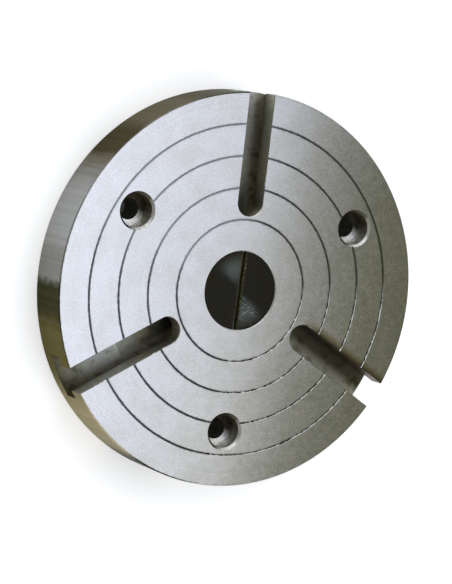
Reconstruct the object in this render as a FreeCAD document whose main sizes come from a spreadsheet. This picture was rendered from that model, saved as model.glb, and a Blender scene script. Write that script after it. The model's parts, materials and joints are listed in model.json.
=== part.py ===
import FreeCAD, Part
import math
import os
import Sketcher

# Lathe chuck backplate, 200 mm across: a turned disc with three T-slots open at the
# rim, four fine ring lines, three counterbored bolt holes and a stepped central bore
# whose wider front end is closed by a blackened steel plug.
# The frame: Z up out of the working face, origin at the centre of the back face,
# first T-slot along +Y. Sizes in millimetres, angles in degrees.

SHEET = "Dimensions"

DIMENSIONS = [
    ("plate_diameter", 200, "outside diameter of the plate"),
    ("plate_thickness", 27, "back face to working face"),
    ("rim_break", 0.6, "chamfer on both edges of the rim"),
    ("bore_diameter", 35, "central bore, open to the back"),
    ("plug_seat_diameter", 40, "wider front end of the bore, which holds the plug"),
    ("plug_seat_depth", 12.5, "working face to the shoulder under the plug"),
    ("bore_break", 0.5, "chamfer on both mouths of the bore"),
    ("slot_count", 3, "T-slots, evenly spaced"),
    ("slot_width", 14, "neck of the T-slot"),
    ("neck_depth", 9.5, "working face to the shoulder under the neck"),
    ("undercut_width", 23.5, "wide part of the T-slot"),
    ("undercut_height", 9.5, "shoulder to the slot floor"),
    ("slot_tip_radius", 37.6, "plate centre to the inner tip of the neck"),
    ("slot_break", 0.3, "chamfer along the slot mouth"),
    ("cutter_overrun", 6, "how far the slot cuts run past the rim"),
    ("bolt_count", 3, "bolt holes, halfway between the slots"),
    ("bolt_circle_diameter", 144, "pitch circle of the bolt holes"),
    ("bolt_hole_diameter", 11, "clearance hole for a 10 mm bolt"),
    ("counterbore_diameter", 17, "seat of the bolt head"),
    ("counterbore_depth", 10.7, "working face to the bolt head seat"),
    ("counterbore_break", 1.2, "chamfer on the counterbore mouth"),
    ("bolt_hole_break", 0.5, "chamfer where the bolt hole leaves the back"),
    ("ring_count", 4, "ring lines on the working face"),
    ("first_ring_radius", 36, "radius of the innermost ring line"),
    ("ring_spacing", 16, "radial step from one ring line to the next"),
    ("ring_line_width", 1.0, "width of a ring line at the face"),
    ("ring_line_depth", 0.8, "depth of a ring line"),
    ("plug_recess", 0.5, "plug face below the working face"),
    ("plug_break", 0.4, "chamfer on both edges of the plug"),
    ("saw_cut_width", 1.2, "cut across the plug face"),
    ("saw_cut_depth", 3, "depth of that cut"),
    ("saw_cut_break", 0.5, "chamfer along that cut"),
    ("saw_cut_turn", -1.35, "angle from the first slot's line to the cut"),
]


def make_sheet(document):
    """The driving dimensions, one row each: name, number with an alias, meaning."""
    sheet = document.addObject("Spreadsheet::Sheet", SHEET)
    for row, (name, number, meaning) in enumerate(DIMENSIONS, start=1):
        sheet.set(f"A{row}", name)
        sheet.set(f"B{row}", str(number))
        sheet.setAlias(f"B{row}", name)
        sheet.set(f"C{row}", meaning)
    document.recompute()
    return sheet


def size(expression):
    """Puts the sheet's name before every dimension named in an expression."""
    words = expression.split(" ")
    names = {name for name, _, _ in DIMENSIONS}
    return " ".join(f"{SHEET}.{word}" if word in names else word for word in words)


def origin_feature(body, role):
    return next(item for item in body.Origin.OriginFeatures if item.Role == role)


def new_sketch(body, name, plane, level=None, turn=None):
    """An empty sketch on one of the body's origin planes, raised and turned if asked."""
    sketch = body.newObject("Sketcher::SketchObject", name)
    sketch.AttachmentSupport = [(origin_feature(body, plane), "")]
    sketch.MapMode = "FlatFace"
    if level is not None:
        sketch.setExpression("AttachmentOffset.Base.z", size(level))
    if turn is not None:
        sketch.setExpression("AttachmentOffset.Rotation.Angle", size(turn))
    return sketch


def constrain(sketch, expression, kind, *places):
    """Adds a constraint whose value follows an expression of the sheet."""
    value = float(sketch.evalExpression(size(expression)))
    index = sketch.addConstraint(Sketcher.Constraint(kind, *places, value))
    sketch.setExpression(f"Constraints[{index}]", size(expression))


def add_polygon(sketch, corners):
    """A closed outline; each corner is a pair of expressions, across and up."""
    points = [
        FreeCAD.Vector(
            float(sketch.evalExpression(size(across))),
            float(sketch.evalExpression(size(up))),
            0,
        )
        for across, up in corners
    ]
    first = sketch.GeometryCount
    count = len(points)
    for index in range(count):
        line = Part.LineSegment(points[index], points[(index + 1) % count])
        sketch.addGeometry(line)
    for index, (across, up) in enumerate(corners):
        here = first + index
        following = first + (index + 1) % count
        sketch.addConstraint(Sketcher.Constraint("Coincident", here, 2, following, 1))
        constrain(sketch, across, "DistanceX", -1, 1, here, 1)
        constrain(sketch, up, "DistanceY", -1, 1, here, 1)


def add_open_slot(sketch, width):
    """A slot along +Y: a half-round inner end and straight sides out past the rim."""
    radius = sketch.evalExpression(size(f"{width} / 2"))
    centre = sketch.evalExpression(size("slot_tip_radius + slot_width / 2"))
    outer = sketch.evalExpression(size("plate_diameter / 2 + cutter_overrun"))
    middle = FreeCAD.Vector(0, centre, 0)
    circle = Part.Circle(middle, FreeCAD.Vector(0, 0, 1), radius)
    corners = [
        FreeCAD.Vector(radius, centre, 0),
        FreeCAD.Vector(radius, outer, 0),
        FreeCAD.Vector(-radius, outer, 0),
        FreeCAD.Vector(-radius, centre, 0),
    ]
    sketch.addGeometry(Part.ArcOfCircle(circle, math.pi, 2 * math.pi))
    for start, end in zip(corners, corners[1:]):
        sketch.addGeometry(Part.LineSegment(start, end))
    for constraint in [
        Sketcher.Constraint("Tangent", 0, 2, 1, 1),
        Sketcher.Constraint("Coincident", 1, 2, 2, 1),
        Sketcher.Constraint("Coincident", 2, 2, 3, 1),
        Sketcher.Constraint("Tangent", 3, 2, 0, 1),
        Sketcher.Constraint("Horizontal", 2),
        Sketcher.Constraint("Vertical", 1),
        Sketcher.Constraint("PointOnObject", 0, 3, -2),
    ]:
        sketch.addConstraint(constraint)
    constrain(sketch, f"{width} / 2", "Radius", 0)
    constrain(sketch, "slot_tip_radius + slot_width / 2", "DistanceY", -1, 1, 0, 3)
    constrain(sketch, "plate_diameter / 2 + cutter_overrun", "DistanceY", -1, 1, 1, 2)


def revolve(body, sketch, name, kind="PartDesign::Revolution"):
    """Turns a profile drawn on the XZ plane round the Z axis, adding or cutting."""
    feature = body.newObject(kind, name)
    feature.Profile = sketch
    feature.ReferenceAxis = (sketch, ["V_Axis"])
    feature.Angle = 360
    body.Document.recompute()
    return feature


def pocket(body, sketch, name, depth):
    """Cuts an outline straight down from its sketch, towards the back face."""
    feature = body.newObject("PartDesign::Pocket", name)
    feature.Profile = sketch
    feature.setExpression("Length", size(depth))
    body.Document.recompute()
    return feature


def repeat_round_axis(body, features, name, count):
    """Repeats cuts evenly round the plate's axis and makes the result the body's tip."""
    pattern = body.newObject("PartDesign::PolarPattern", name)
    pattern.Originals = features
    pattern.Axis = (origin_feature(body, "Z_Axis"), [""])
    pattern.Angle = 360
    pattern.setExpression("Occurrences", size(count))
    body.Tip = pattern
    body.Document.recompute()
    return pattern


def break_edges(body, name, amount, wanted):
    """Chamfers every edge of the body so far that the test called wanted accepts."""
    base = body.Tip
    edges = enumerate(base.Shape.Edges, start=1)
    names = [f"Edge{number}" for number, edge in edges if wanted(edge)]
    feature = body.newObject("PartDesign::Chamfer", name)
    feature.Base = (base, names)
    feature.setExpression("Size", size(amount))
    body.Document.recompute()
    return feature


def lies_at(edge, level):
    """True for an edge that lies flat at that height."""
    box = edge.BoundBox
    return abs(box.ZMin - level) < 1e-5 and abs(box.ZMax - level) < 1e-5


def is_circle_of(edge, radius):
    """True for a whole or part circle of that radius."""
    curve = edge.Curve
    return curve.TypeId == "Part::GeomCircle" and abs(curve.Radius - radius) < 1e-5


def turn_blank(body):
    """The disc as it comes off the lathe: rim, both faces and the stepped bore."""
    sketch = new_sketch(body, "blank_profile", "XZ_Plane")
    add_polygon(
        sketch,
        [
            ("bore_diameter / 2 + bore_break", "0"),
            ("plate_diameter / 2 - rim_break", "0"),
            ("plate_diameter / 2", "rim_break"),
            ("plate_diameter / 2", "plate_thickness - rim_break"),
            ("plate_diameter / 2 - rim_break", "plate_thickness"),
            ("plug_seat_diameter / 2 + bore_break", "plate_thickness"),
            ("plug_seat_diameter / 2", "plate_thickness - bore_break"),
            ("plug_seat_diameter / 2", "plate_thickness - plug_seat_depth"),
            ("bore_diameter / 2", "plate_thickness - plug_seat_depth"),
            ("bore_diameter / 2", "bore_break"),
        ],
    )
    revolve(body, sketch, "blank")


def mill_t_slots(body, sheet):
    """Neck first, then the wider undercut below it, repeated at 120 degree steps."""
    neck_sketch = new_sketch(body, "neck_outline", "XY_Plane", "plate_thickness")
    add_open_slot(neck_sketch, "slot_width")
    neck = pocket(body, neck_sketch, "slot_neck", "neck_depth")

    undercut_level = "plate_thickness - neck_depth"
    undercut_sketch = new_sketch(body, "undercut_outline", "XY_Plane", undercut_level)
    add_open_slot(undercut_sketch, "undercut_width")
    undercut = pocket(body, undercut_sketch, "slot_undercut", "undercut_height")

    repeat_round_axis(body, [neck, undercut], "t_slots", "slot_count")

    def at_slot_mouth(edge):
        straight = edge.Curve.TypeId == "Part::GeomLine"
        round_end = is_circle_of(edge, sheet.slot_width / 2)
        return lies_at(edge, sheet.plate_thickness) and (straight or round_end)

    break_edges(body, "slot_mouth_breaks", "slot_break", at_slot_mouth)


def drill_bolt_holes(body, sheet):
    """Counterbored clearance holes, the first one straight across from a slot."""
    sketch = new_sketch(body, "bolt_hole_centre", "XY_Plane", "plate_thickness")
    middle = FreeCAD.Vector(0, -sheet.bolt_circle_diameter / 2, 0)
    upward = FreeCAD.Vector(0, 0, 1)
    sketch.addGeometry(Part.Circle(middle, upward, sheet.bolt_hole_diameter / 2))
    sketch.addConstraint(Sketcher.Constraint("PointOnObject", 0, 3, -2))
    constrain(sketch, "bolt_hole_diameter / 2", "Radius", 0)
    constrain(sketch, "bolt_circle_diameter / -2", "DistanceY", -1, 1, 0, 3)

    hole = body.newObject("PartDesign::Hole", "bolt_hole")
    hole.Profile = sketch
    body.Document.recompute()
    hole.DepthType = "ThroughAll"
    hole.setExpression("Diameter", size("bolt_hole_diameter"))
    hole.HoleCutType = "Counterbore"
    hole.HoleCutCustomValues = True
    hole.setExpression("HoleCutDiameter", size("counterbore_diameter"))
    hole.setExpression("HoleCutDepth", size("counterbore_depth"))
    body.Document.recompute()
    repeat_round_axis(body, [hole], "bolt_holes", "bolt_count")

    def at_counterbore_mouth(edge):
        at_face = lies_at(edge, sheet.plate_thickness)
        return at_face and is_circle_of(edge, sheet.counterbore_diameter / 2)

    def at_back_mouth(edge):
        return lies_at(edge, 0) and is_circle_of(edge, sheet.bolt_hole_diameter / 2)

    break_edges(body, "head_seat_breaks", "counterbore_break", at_counterbore_mouth)
    break_edges(body, "back_mouth_breaks", "bolt_hole_break", at_back_mouth)


def cut_ring_lines(body, sheet):
    """Fine V-shaped lines that show where the plate's centre is."""
    sketch = new_sketch(body, "ring_line_profile", "XZ_Plane")
    for number in range(int(sheet.ring_count)):
        radius = f"first_ring_radius + {number} * ring_spacing"
        add_polygon(
            sketch,
            [
                (f"{radius} - ring_line_width / 2", "plate_thickness"),
                (radius, "plate_thickness - ring_line_depth"),
                (f"{radius} + ring_line_width / 2", "plate_thickness"),
            ],
        )
    revolve(body, sketch, "ring_lines", "PartDesign::Groove")


def make_backplate(document, sheet):
    body = document.addObject("PartDesign::Body", "backplate")
    body.Label = "backplate"
    turn_blank(body)
    mill_t_slots(body, sheet)
    drill_bolt_holes(body, sheet)
    cut_ring_lines(body, sheet)
    return body


def make_centre_plug(document, sheet):
    """A turned plug that sits on the shoulder of the bore, with a fine saw cut."""
    body = document.addObject("PartDesign::Body", "centre_plug")
    body.Label = "centre_plug"
    face = "plate_thickness - plug_recess"
    rear = "plate_thickness - plug_seat_depth"

    profile = new_sketch(body, "plug_profile", "XZ_Plane")
    add_polygon(
        profile,
        [
            ("0", rear),
            ("plug_seat_diameter / 2 - plug_break", rear),
            ("plug_seat_diameter / 2", f"{rear} + plug_break"),
            ("plug_seat_diameter / 2", f"{face} - plug_break"),
            ("plug_seat_diameter / 2 - plug_break", face),
            ("0", face),
        ],
    )
    revolve(body, profile, "plug_blank")

    outline = new_sketch(body, "saw_cut_outline", "XY_Plane", face, "saw_cut_turn")
    add_polygon(
        outline,
        [
            ("saw_cut_width / -2", "plug_seat_diameter / -2 - cutter_overrun"),
            ("saw_cut_width / 2", "plug_seat_diameter / -2 - cutter_overrun"),
            ("saw_cut_width / 2", "plug_seat_diameter / 2 + cutter_overrun"),
            ("saw_cut_width / -2", "plug_seat_diameter / 2 + cutter_overrun"),
        ],
    )
    pocket(body, outline, "saw_cut", "saw_cut_depth")

    def at_cut_mouth(edge):
        level = sheet.plate_thickness - sheet.plug_recess
        return lies_at(edge, level) and edge.Curve.TypeId == "Part::GeomLine"

    break_edges(body, "saw_cut_breaks", "saw_cut_break", at_cut_mouth)
    return body


def check(document, bodies):
    """Stops before anything is written if a feature failed or a solid isn't sound."""
    for item in document.Objects:
        if {"Invalid", "Error"} & set(item.State):
            raise RuntimeError(f"{item.Label} failed: {item.State}")
    for body in bodies:
        shape = body.Shape
        if shape.isNull() or not shape.isValid() or len(shape.Solids) != 1:
            raise RuntimeError(f"{body.Label} isn't one sound solid")


def export(bodies):
    os.makedirs("parts", exist_ok=True)
    for body in bodies:
        body.Shape.exportStep(f"parts/{body.Label}.step")
        cubic_centimetres = body.Shape.Volume / 1000
        print(f"{body.Label}: {cubic_centimetres:.1f} cubic centimetres")


document = FreeCAD.newDocument("chuck_backplate")
sheet = make_sheet(document)
bodies = [make_backplate(document, sheet), make_centre_plug(document, sheet)]
document.recompute()
check(document, bodies)
export(bodies)
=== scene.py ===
import json
import math

import bmesh
import bpy
from mathutils import Matrix, Quaternion, Vector


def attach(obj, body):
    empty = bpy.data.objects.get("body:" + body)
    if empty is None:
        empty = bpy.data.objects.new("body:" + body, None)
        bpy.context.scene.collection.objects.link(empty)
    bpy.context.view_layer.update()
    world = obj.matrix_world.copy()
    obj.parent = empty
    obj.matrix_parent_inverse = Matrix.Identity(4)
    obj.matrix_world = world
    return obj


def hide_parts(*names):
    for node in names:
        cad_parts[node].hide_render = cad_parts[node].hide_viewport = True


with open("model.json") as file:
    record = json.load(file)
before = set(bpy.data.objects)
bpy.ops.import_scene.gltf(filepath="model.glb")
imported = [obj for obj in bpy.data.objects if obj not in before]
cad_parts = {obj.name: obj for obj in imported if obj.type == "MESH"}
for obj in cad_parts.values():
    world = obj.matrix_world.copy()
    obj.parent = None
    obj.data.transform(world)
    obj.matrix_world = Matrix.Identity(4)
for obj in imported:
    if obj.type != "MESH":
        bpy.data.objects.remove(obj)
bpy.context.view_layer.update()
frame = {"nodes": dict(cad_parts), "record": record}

# The camera stands where the photograph was taken from: a little over a metre away, to the left
# of the plate's axis and 29 degrees off it, with a long lens. The plate lies on its back, so the
# camera looks down on it.
CAMERA_PLACE = Vector((-0.59465, 0.10262, 1.09950))
CAMERA_RIGHT = Vector((0.87651, 0.11185, 0.46820))
CAMERA_AHEAD = Vector((0.47783, -0.08436, -0.87439))
LENS_MM = 150.7
SENSOR_MM = 36.0
# The photograph's optical centre, in pixels right of and above the middle of the picture.
CENTRE_SHIFT_PX = (0.5, -0.5)
LONG_SIDE_PX = 584

camera = bpy.data.objects.new("camera", bpy.data.cameras.new("camera"))
bpy.context.scene.collection.objects.link(camera)
back = -CAMERA_AHEAD.normalized()
across = (CAMERA_RIGHT - CAMERA_RIGHT.dot(back) * back).normalized()
turned = Matrix((across, back.cross(across), back)).transposed().to_4x4()
camera.matrix_world = Matrix.Translation(CAMERA_PLACE) @ turned
camera.data.lens = LENS_MM
camera.data.sensor_width = SENSOR_MM
camera.data.shift_x = CENTRE_SHIFT_PX[0] / LONG_SIDE_PX
camera.data.shift_y = CENTRE_SHIFT_PX[1] / LONG_SIDE_PX
camera.data.clip_start = 0.05
camera.data.clip_end = 20.0
bpy.context.scene.camera = camera
bpy.context.scene.view_settings.view_transform = "Standard"


# The white table and the studio lamps. The table is matt white card. A large soft lamp hangs where
# the left half of the face mirrors it, and the right half looks past it into a darker room.
TABLE_HALF_M = 3.0
TABLE_DROP_M = 0.0001
TABLE_WHITE = "#fbfbfb"
TABLE_GLOW = 0.38
HOLE_SHADE = "#4c4c46"
HOLE_SHADE_M = 0.0062
BLEND = {"data_type": "RGBA"}


def hex_colour(text):
    """The linear colour of an sRGB hex value."""
    parts = [int(text[i:i + 2], 16) / 255 for i in (1, 3, 5)]
    return [p / 12.92 if p <= 0.04045 else ((p + 0.055) / 1.055) ** 2.4 for p in parts] + [1.0]


def add_node(tree, kind, inputs=None, stops=(), **settings):
    """Adds a node. An input may be a node, whose first live output is meant. Stops fill a ramp."""
    node = tree.nodes.new(kind)
    for name, value in settings.items():
        setattr(node, name, value)
    for name, value in (inputs or {}).items():
        if isinstance(value, bpy.types.Node):
            value = next(output for output in value.outputs if output.enabled)
        if isinstance(value, bpy.types.NodeSocket):
            tree.links.new(value, node.inputs[name])
        else:
            node.inputs[name].default_value = value
    for number, (position, colour) in enumerate(stops):
        if number >= len(node.color_ramp.elements):
            node.color_ramp.elements.new(position)
        node.color_ramp.elements[number].position = position
        node.color_ramp.elements[number].color = hex_colour(colour)
    return node


def new_material(name):
    """An empty node material and its tree."""
    made = bpy.data.materials.new(name)
    made.use_nodes = True
    made.node_tree.nodes.clear()
    return made, made.node_tree


# The card is grey right under the plate's bolt holes, a painted shade where only they show it, so that they
# look deep.
# From below it is clear, and it lies a hair under the plate, so that the plate's back can be looked at.
white_card, tree = new_material("white_card")
where = add_node(tree, "ShaderNodeTexCoord").outputs["Object"]
paint = add_node(tree, "ShaderNodeRGB").outputs[0]
paint.default_value = hex_colour(TABLE_WHITE)
for opening in frame["record"]["physics"]["openings"]:
    if opening["name"].startswith("bolt_hole"):
        low, high = opening["box_m"]
        from_hole_axis = {0: where, 1: ((low[0] + high[0]) / 2, (low[1] + high[1]) / 2, 0)}
        reach = add_node(tree, "ShaderNodeVectorMath", from_hole_axis, operation="DISTANCE")
        shaded = add_node(tree, "ShaderNodeMath", {0: reach, 1: HOLE_SHADE_M}, operation="LESS_THAN")
        paint = add_node(tree, "ShaderNodeMix", {0: shaded, 6: paint, 7: hex_colour(HOLE_SHADE)}, **BLEND)
card = add_node(tree, "ShaderNodeBsdfDiffuse", {"Color": paint})
rays = add_node(tree, "ShaderNodeLightPath").outputs
seen = rays["Is Camera Ray"]
for kind in ("Is Glossy Ray", "Is Transmission Ray"):
    seen = add_node(tree, "ShaderNodeMath", {0: seen, 1: rays[kind]}, operation="MAXIMUM")
lift = add_node(tree, "ShaderNodeMath", {0: seen, 1: TABLE_GLOW}, operation="MULTIPLY")
glow = add_node(tree, "ShaderNodeEmission", {"Color": paint, "Strength": lift})
both = add_node(tree, "ShaderNodeAddShader", {0: card, 1: glow})
below = add_node(tree, "ShaderNodeNewGeometry").outputs["Backfacing"]
clear = add_node(tree, "ShaderNodeBsdfTransparent")
one_way = add_node(tree, "ShaderNodeMixShader", {0: below, 1: both, 2: clear})
add_node(tree, "ShaderNodeOutputMaterial", {"Surface": one_way})

sides = ((-1, -1), (1, -1), (1, 1), (-1, 1))
corners = [(x * TABLE_HALF_M, y * TABLE_HALF_M, -TABLE_DROP_M) for x, y in sides]
table_mesh = bpy.data.meshes.new("white_table")
table_mesh.from_pydata(corners, [], [(0, 1, 2, 3)])
table_mesh.materials.append(white_card)
white_table = bpy.data.objects.new("white_table", table_mesh)
bpy.context.scene.collection.objects.link(white_table)


def soft_lamp(name, place, aim, spin, width, height, brightness, colour):
    """A rectangular soft lamp whose surface has the given brightness, where 1 is plain white."""
    data = bpy.data.lights.new(name, "AREA")
    data.shape = "RECTANGLE"
    data.size = width
    data.size_y = height
    data.energy = brightness * math.pi * width * height
    data.color = hex_colour(colour)[:3]
    lamp = bpy.data.objects.new(name, data)
    lamp.location = place
    lamp.rotation_mode = "QUATERNION"
    facing = (Vector(place) - Vector(aim)).to_track_quat("Z", "Y")
    lamp.rotation_quaternion = facing @ Quaternion((0, 0, 1), math.radians(spin))
    lamp.visible_camera = False
    bpy.context.scene.collection.objects.link(lamp)


# The overhead softbox is the lamp that the face mirrors. A second, weaker one lifts the face's left
# edge, and a wide window beyond the plate's top lights the rim on that side.
soft_lamp(
    "overhead_softbox", place=(0.087, 0.02, 0.627), aim=(0.087, 0.02, 0), spin=-4,
    width=0.56, height=0.84, brightness=1.03, colour="#e6eafd",
)
soft_lamp(
    "softbox_middle", place=(-0.03, 0.17, 0.600), aim=(-0.03, 0.17, 0), spin=-4,
    width=0.50, height=0.70, brightness=0.27, colour="#e4e8ff",
)
soft_lamp(
    "top_window", place=(-0.02, 1.08, 0.90), aim=(0, 0, 0.02), spin=0,
    width=1.6, height=0.9, brightness=0.45, colour="#f2f5ff",
)

# The room is white all round, but for its ceiling above the lamps, a dim corner high on the right
# and a greyer wall low on the left.
ROOM_WHITE = "#f2f3f1"
DIM_PLACES = (
    # direction, shade there, degrees from it where the shade is full, and where it ends
    ((0.0, 0.0, 1.0), "#5e5f4a", 20, 36),
    ((0.54, -0.08, 0.84), "#5c5d48", 12, 28),
    ((-0.93, -0.10, 0.35), "#9c9c94", 25, 55),
)
SOFT_ENDS = {"interpolation_type": "SMOOTHSTEP"}

world = bpy.data.worlds.new("studio_room")
world.use_nodes = True
tree = world.node_tree
tree.nodes.clear()
bpy.context.scene.world = world
looking = add_node(tree, "ShaderNodeTexCoord").outputs["Generated"]
walls = add_node(tree, "ShaderNodeRGB").outputs[0]
walls.default_value = hex_colour(ROOM_WHITE)
for direction, shade_colour, full, end in DIM_PLACES:
    to_middle = {0: looking, 1: Vector(direction).normalized()}
    nearness = add_node(tree, "ShaderNodeVectorMath", to_middle, operation="DOT_PRODUCT")
    limits = {"From Min": math.cos(math.radians(end)), "From Max": math.cos(math.radians(full))}
    shade = add_node(tree, "ShaderNodeMapRange", {"Value": nearness, **limits}, **SOFT_ENDS)
    walls = add_node(tree, "ShaderNodeMix", {0: shade, 6: walls, 7: hex_colour(shade_colour)}, **BLEND)
room = add_node(tree, "ShaderNodeBackground", {"Color": walls, "Strength": 1.0})
add_node(tree, "ShaderNodeOutputWorld", {"Surface": room})


# The plate itself is one steel disc, faced and turned on a lathe, with the edge of its rim broken.
# Its face is ground to a fine satin. Here is its blank, before the slots and holes are cut.
MM = 0.001
PLATE_RADIUS = 100.0
PLATE_THICKNESS = 27.0
RIM_BREAK = 0.6
ROUND_STEPS = 384
SMALL_ROUND_RADIUS = 30.0
SMALL_ROUND_STEPS = 96
OVERRUN = 1.0
MULTIPLY = {"data_type": "RGBA", "blend_type": "MULTIPLY"}
# For marks that change along one measure only, such as rings round the axis.
LAYERED = {"noise_dimensions": "1D"}


def polar_place(tree):
    """The place in mm, the same without its height, its distance and turn round the axis, and its height."""
    where = add_node(tree, "ShaderNodeTexCoord").outputs["Object"]
    place = add_node(tree, "ShaderNodeVectorMath", {0: where, "Scale": 1 / MM}, operation="SCALE")
    flat = add_node(tree, "ShaderNodeVectorMath", {0: place, 1: (1, 1, 0)}, operation="MULTIPLY")
    radius = add_node(tree, "ShaderNodeVectorMath", {0: flat}, operation="LENGTH")
    split = add_node(tree, "ShaderNodeSeparateXYZ", {0: place}).outputs
    turn = add_node(tree, "ShaderNodeMath", {0: split["Y"], 1: split["X"]}, operation="ARCTAN2")
    degrees = add_node(tree, "ShaderNodeMath", {0: turn}, operation="DEGREES")
    return {"place": place, "flat": flat, "radius": radius, "degrees": degrees, "height": split["Z"]}


def reach_towards(tree, arm, degrees):
    """How far in mm an arm from an axis reaches in the direction of a turn round it."""
    direction = (math.cos(math.radians(degrees)), math.sin(math.radians(degrees)), 0)
    return add_node(tree, "ShaderNodeVectorMath", {0: arm, 1: direction}, operation="DOT_PRODUCT")


def dulled(tree, colour, pattern, stops, share=1.0):
    """The colour, made duller where the pattern's ramp is darker than white."""
    tint = add_node(tree, "ShaderNodeValToRGB", {0: pattern}, stops=stops)
    return add_node(tree, "ShaderNodeMix", {0: share, 6: colour, 7: tint}, **MULTIPLY)


def finish_metal(tree, inputs):
    """Ends a material's tree with bare metal."""
    shader = add_node(tree, "ShaderNodeBsdfPrincipled", {"Metallic": 1.0, **inputs})
    add_node(tree, "ShaderNodeOutputMaterial", {"Surface": shader})


# Ground steel is bright and satin. It has a fine even grain, pale clouds where it was wiped, rings left by
# the facing tool that can just be made out, and a few small dull specks. One side is painted faintly yellow,
# a painted reflection. Dirt lies beside the ring lines, with painted shade beside them on one side.
ground_steel, tree = new_material("ground_steel_face")
# Real grain is about 0.1 mm, and real facing rings 0.3 mm apart. Both are drawn coarser, to show.
GRAIN_MM = 0.8
FACING_PITCH_MM = 1.3
CLOUD_MM = 14.0
SPECK_SPACING_MM = 6.0
MOTTLE_MM = 3.5
# The turn of the side painted yellow as a reflection, then how far towards it the tint begins and is full, in
# mm.
REFLECTION_TINT_SIDE = (-25.0, -30.0, 60.0)
# The turn at a side's middle, then the cosines of how far from it the side begins and is full.
FILLED_LINES_SIDE = (132.0, -0.70, -0.55)
PALE_LINES_SIDE = (124.0, 0.64, 0.88)
FIRST_RING_RADIUS = 36.0
RING_SPACING = 16.0
RINGS_FROM = FIRST_RING_RADIUS - RING_SPACING / 2
LINE_BAND_MM = 0.95
LINE_BAND_FADE_MM = 0.5
LINE_BAND_WANDER_MM = 0.3
LINE_BAND_SPACING_MM = 2.5
CREPT_OIL_SLOT_DEGREES = 330.0
# How far aside of that slot's middle the oil that crept out of it is full and ends, and how far out
# along the slot it begins and is full, in mm.
CREPT_ASIDE_MM = (7.0, 11.5)
CREPT_ALONG_MM = (40.0, 50.0)


def share_towards(tree, arm, degrees, begins, full):
    """How far an arm in mm from an axis reaches one way, as 0 where that begins to 1 where it is full."""
    reach = reach_towards(tree, arm, degrees)
    return add_node(tree, "ShaderNodeMapRange", {"Value": reach, "From Min": begins, "From Max": full})


def side_share(tree, degrees, middle, begins, full):
    """How far a turn round the axis lies on one side of the plate, from 0 to 1."""
    apart = add_node(tree, "ShaderNodeMath", {0: degrees, 1: middle}, operation="SUBTRACT")
    apart = add_node(tree, "ShaderNodeMath", {0: apart}, operation="RADIANS")
    nearness = add_node(tree, "ShaderNodeMath", {0: apart}, operation="COSINE")
    return add_node(tree, "ShaderNodeMapRange", {"Value": nearness, "From Min": begins, "From Max": full})


def crept_share(tree, flat):
    """How far oil has crept out over the oiliest slot's edge at a place, from 0 to 1."""
    aside = reach_towards(tree, flat, CREPT_OIL_SLOT_DEGREES + 90)
    on_side = add_node(tree, "ShaderNodeMath", {0: aside, 1: 0.0}, operation="GREATER_THAN")
    full, ends = CREPT_ASIDE_MM
    near_slot = add_node(tree, "ShaderNodeMapRange", {"Value": aside, "From Min": ends, "From Max": full})
    far_out = share_towards(tree, flat, CREPT_OIL_SLOT_DEGREES, *CREPT_ALONG_MM)
    crept_oil_and_shade = add_node(tree, "ShaderNodeMath", {0: on_side, 1: near_slot}, operation="MULTIPLY")
    return add_node(tree, "ShaderNodeMath", {0: crept_oil_and_shade, 1: far_out}, operation="MULTIPLY")


at = polar_place(tree)
grain = add_node(tree, "ShaderNodeTexNoise", {"Vector": at["place"], "Scale": 1 / GRAIN_MM, "Detail": 3.0})
clouds = add_node(tree, "ShaderNodeTexNoise", {"Vector": at["place"], "Scale": 1 / CLOUD_MM, "Detail": 5.0})
rings = add_node(tree, "ShaderNodeTexNoise", {"W": at["radius"], "Scale": 1 / FACING_PITCH_MM}, **LAYERED)
uneven_specks = {"Scale": 1 / SPECK_SPACING_MM, "Detail": 6.0, "Roughness": 0.75}
specks = add_node(tree, "ShaderNodeTexNoise", {"Vector": at["place"], **uneven_specks})
satin = add_node(tree, "ShaderNodeValToRGB", {0: grain}, stops=[(0.3, "#d8d8d7"), (0.7, "#eaeae9")])
satin = dulled(tree, satin, clouds, [(0.35, "#f6f6f2"), (0.6, "#ffffff")])
satin = dulled(tree, satin, rings, [(0.3, "#fbfbfb"), (0.7, "#ffffff")])
satin = dulled(tree, satin, specks, [(0.20, "#a5a5a0"), (0.27, "#ffffff")])

# The painted yellow reflection is mottled. On the working face oil has crept out over one slot's edge.
halfway = {0: at["height"], 1: PLATE_THICKNESS / 2}
in_front = add_node(tree, "ShaderNodeMath", halfway, operation="GREATER_THAN")
mottle = add_node(tree, "ShaderNodeTexNoise", {"Vector": at["place"], "Scale": 1 / MOTTLE_MM, "Detail": 3.0})
reflection_stops = [(0.35, "#e8eada"), (0.5, "#f4f1e3"), (0.65, "#fff9ee")]
painted_light_share = share_towards(tree, at["flat"], *REFLECTION_TINT_SIDE)
satin = dulled(tree, satin, mottle.outputs["Color"], reflection_stops, share=painted_light_share)
crept_oil_and_shade = crept_share(tree, at["flat"])
crept_oil_and_shade = add_node(tree, "ShaderNodeMath", {0: crept_oil_and_shade, 1: in_front}, operation="MULTIPLY")
satin = dulled(tree, satin, crept_oil_and_shade, [(0.0, "#ffffff"), (0.6, "#c9c0a2"), (1.0, "#6f6955")])

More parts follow.
